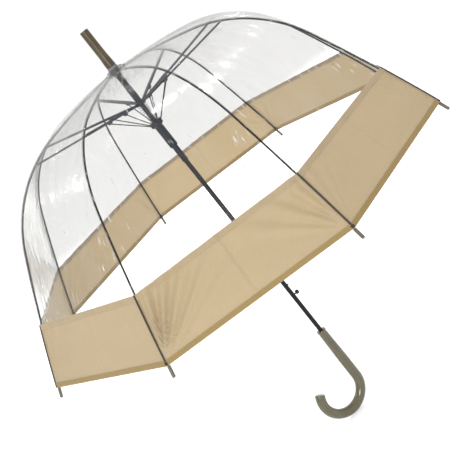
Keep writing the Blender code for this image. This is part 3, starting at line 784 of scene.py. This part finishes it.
spring_low, spring_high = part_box("opening_spring")
spring_foot, spring_head = spring_low.z + SPRING_WIRE_R, spring_high.z - SPRING_WIRE_R
spring_path = []
for step in range(SPRING_TURNS * SPRING_STEPS + 1):
    share = step / (SPRING_TURNS * SPRING_STEPS)
    angle = 2 * math.pi * SPRING_TURNS * share
    height = spring_foot + (spring_head - spring_foot) * share
    spring_path.append((SPRING_R * math.cos(angle), SPRING_R * math.sin(angle), height))
spring = sweep("opening_coil", spring_path, (SPRING_WIRE_R, SPRING_WIRE_R), 10, SPRING_STEEL)
seated(spring, "ring")
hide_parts("opening_spring")
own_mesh(spring)


# ---------------------------------------------------------------- handle

HANDLE_TOP_Z, CROOK_TOP_Z = RIM_Z - 0.2699, RIM_Z - 0.3876
CROOK_R, CROOK_SWEEP = 0.0443, math.radians(212.0)
GRIP_TOP_R, GRIP_R = 0.0086, 0.0098
CROOK_STEPS, HANDLE_SIDES = 84, 40
MOUTH_LIP = 0.0004           # the mouth is this much wider than the grip below it
MOULD_LINE_R, MOULD_LINE_SUNK = 0.0003, 0.00012
MOUTH = [                    # drop below the handle's top, change of radius
    (0.0, -0.0012), (0.0, -0.0004), (0.0005, 0.0), (0.0030, 0.0), (0.0042, -0.0006), (0.0060, -0.0006),
]
TIP_ROUNDING = [             # reach beyond the crook's end, change of radius
    (0.0006, -0.0003), (0.0011, -0.0010), (0.0014, -0.0024), (0.0016, -0.0050),
]


def build_handle():
    """The crook: a straight grip with a lipped mouth, a long curl and a rounded tip with a rim."""
    path, sizes = [], []
    for drop, change in MOUTH:
        path.append(Vector((0, 0, HANDLE_TOP_Z - drop - 0.0001 * len(path))))
        sizes.append(GRIP_TOP_R + MOUTH_LIP + change)
    for share in np.linspace(0.08, 1.0, 24):
        path.append(Vector((0, 0, HANDLE_TOP_Z + (CROOK_TOP_Z - HANDLE_TOP_Z) * share)))
        sizes.append(GRIP_TOP_R + (GRIP_R - GRIP_TOP_R) * smooth(share * 1.4))
    for k in range(1, CROOK_STEPS + 1):
        angle = CROOK_SWEEP * k / CROOK_STEPS
        x, z = -CROOK_R + CROOK_R * math.cos(angle), CROOK_TOP_Z - CROOK_R * math.sin(angle)
        path.append(Vector((x, 0, z)))
        sizes.append(GRIP_R)
    ahead = (path[-1] - path[-2]).normalized()
    end = path[-1]
    for reach, change in TIP_ROUNDING:
        path.append(end + ahead * reach)
        sizes.append(GRIP_R + change)
    across = Vector((0, 1, 0))
    handle = sweep("crook_handle", path, [(size, size) for size in sizes], HANDLE_SIDES, TAUPE, up=across)
    seated(handle, "frame")
    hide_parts("handle_crook")
    for way, name in ((1, "front"), (-1, "back")):
        line = []
        for point, size in list(zip(path, sizes))[7:-5]:
            line.append(point + across * (way * (size - MOULD_LINE_SUNK)))
        part = sweep(f"mould_line_{name}", line, (MOULD_LINE_R, MOULD_LINE_R), 6, TAUPE, up=across)
        seated(part, "frame")


build_handle()


# ---------------------------------------------------------------- CAD pieces that show as they are

FINISHES = {
    "shaft_tube": (BLACK_STEEL, "shaft"), "ferrule": (KHAKI_PLASTIC, "ferrule"),
    "canopy_washer": (SMOKE, "notch"), "top_notch": (SMOKE, "notch"),
    "stop_sleeve": (BLUE_BLACK, "mechanism"),
    "floating_ring": (BLUE_BLACK, "mechanism"), "runner": (BLUE_BLACK, "mechanism"),
    "runner_tube": (BLUE_BLACK, "mechanism"), "push_button": (BUTTON, "button"),
    "latch_leaf": (SPRING_STEEL, "spring"),
}
for number in range(1, RIBS + 1):
    FINISHES[f"rib_tip_{number}"] = (TIP, "handle")
    FINISHES[f"stretcher_{number}"] = (BLUE_BLACK, "mechanism")
    FINISHES[f"strut_{number}"] = (BLUE_BLACK, "mechanism")
for name, (material, slot) in FINISHES.items():
    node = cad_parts[name]
    node.data.materials.clear()
    node.data.materials.append(material)


# ---------------------------------------------------------------- studio

world = bpy.data.worlds.new("studio")
bpy.context.scene.world = world
world.use_nodes = True
world.node_tree.nodes["Background"].inputs["Color"].default_value = (1, 1, 1, 1)
world.node_tree.nodes["Background"].inputs["Strength"].default_value = 1.0

floor_mesh = bpy.data.meshes.new("floor")
FLOOR_HALF, FLOOR_Z = 14.0, float(cad_low.z) - 0.0004
corners = [(x * FLOOR_HALF, y * FLOOR_HALF, FLOOR_Z) for x, y in ((-1, -1), (1, -1), (1, 1), (-1, 1))]
floor_mesh.from_pydata(corners, [], [(0, 1, 2, 3)])
floor = bpy.data.objects.new("floor", floor_mesh)
bpy.context.scene.collection.objects.link(floor)
pale = Nodes("pale_floor")
greys = pale.tint(pale.grain((3, 3, 3)), (0.50, 0.50, 0.50), (0.53, 0.53, 0.53))
pale.join(greys, pale.shader.inputs["Base Color"])
pale.shader.inputs["Roughness"].default_value = 0.9
pale.shader.inputs["Specular IOR Level"].default_value = 0.1
pale.shader.inputs["Emission Color"].default_value = (1, 1, 1, 1)
pale.shader.inputs["Emission Strength"].default_value = 0.49
floor_mesh.materials.append(pale.material)

DOME_CENTRE = Vector((0, 0, 0.45))


def lamp(name, location, size, power, glossy=True):
    """A softbox that faces the dome; with glossy off it leaves no highlights."""
    data = bpy.data.lights.new(name, "AREA")
    data.shape = "RECTANGLE"
    data.size, data.size_y = size
    data.energy = power
    item = bpy.data.objects.new(name, data)
    item.location = location
    item.rotation_mode = "QUATERNION"
    item.rotation_quaternion = (DOME_CENTRE - Vector(location)).to_track_quat("-Z", "Y")
    item.visible_glossy = glossy
    bpy.context.scene.collection.objects.link(item)


lamp("key", (-1.75, -2.35, 1.15), (1.0, 1.0), 46)
lamp("behind", (0.9, 2.7, 1.3), (1.2, 1.2), 110, glossy=False)
lamp("spark_top", (-0.15, -0.15, 3.2), (0.16, 0.16), 7)
lamp("spark_left", (-1.8, 1.9, 2.4), (0.25, 0.25), 12)
lamp("spark_right", (1.9, -0.1, 2.6), (0.25, 0.25), 12)

camera_data = bpy.data.cameras.new("camera")
camera_data.lens = 68.85
camera_data.sensor_width = 36.0
camera = bpy.data.objects.new("camera", camera_data)
right, up, back = (0.7014, -0.3856, -0.5995), (0.6595, 0.0311, 0.7511), (-0.2711, -0.9220, 0.2765)
camera.matrix_world = Matrix((
    (right[0], up[0], back[0], -0.4496),
    (right[1], up[1], back[1], -1.4817),
    (right[2], up[2], back[2], 0.7608),
    (0, 0, 0, 1),
))
bpy.context.scene.collection.objects.link(camera)
bpy.context.scene.camera = camera
bpy.context.scene.view_settings.view_transform = "Standard"
